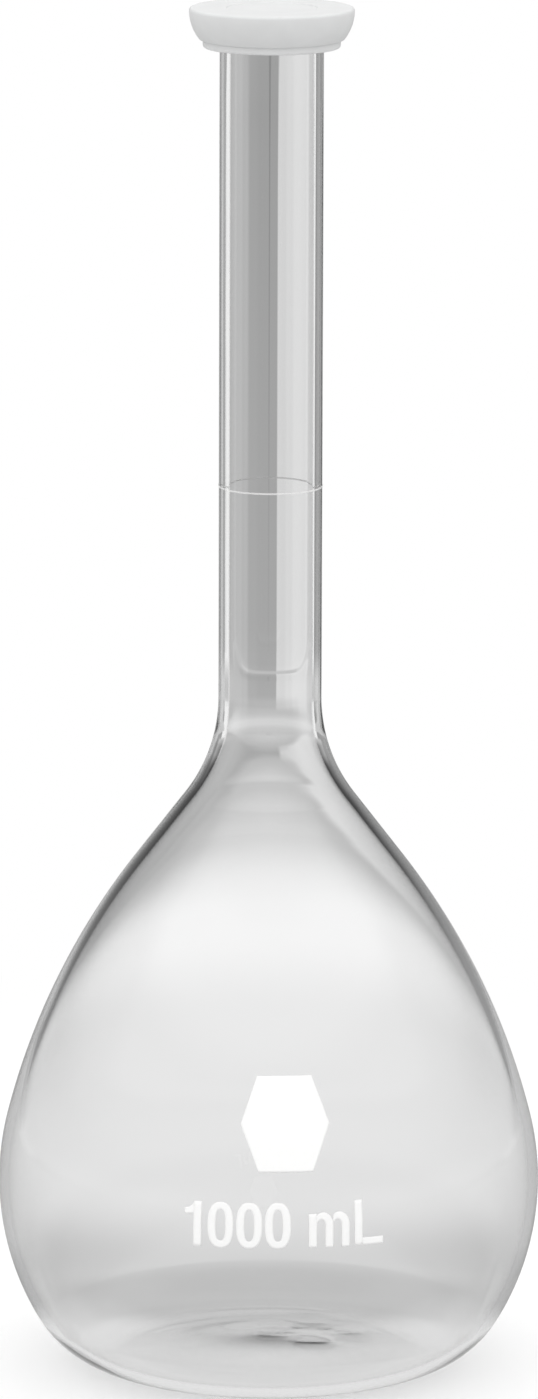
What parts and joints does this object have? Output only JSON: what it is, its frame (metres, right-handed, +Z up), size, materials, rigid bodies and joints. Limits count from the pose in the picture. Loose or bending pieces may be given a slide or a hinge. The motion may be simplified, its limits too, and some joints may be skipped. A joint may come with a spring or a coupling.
{
  "type": "volumetric flask",
  "caption": "Pear-shaped glass flask with a long narrow neck, a ring mark and a snap cap, for making up a solution to an exact volume.",
  "frame": {"origin": "middle of the base, on the plane that the flask stands on", "axes": "+Z up along the flask's axis towards the mouth; the write-on spot faces -Y"},
  "size_m": [0.124, 0.124, 0.3133],
  "materials": {
    "clear_glass": "clear fire-polished borosilicate glass",
    "white_enamel": "matte white fired enamel",
    "cap_polyethylene": "translucent white moulded polyethylene"
  },
  "bodies": {
    "flask": {"blown_bulb": "clear_glass", "neck_tube": "clear_glass", "graduation_ring": "white_enamel", "marking_spot": "white_enamel"},
    "cap": {"snap_cap": "cap_polyethylene"}
  },
  "joints": [
    {"name": "cap_lift", "type": "slide", "parent": "flask", "child": "cap", "axis": [0, 0, 1], "range_m": [0, 0.04]}
  ]
}
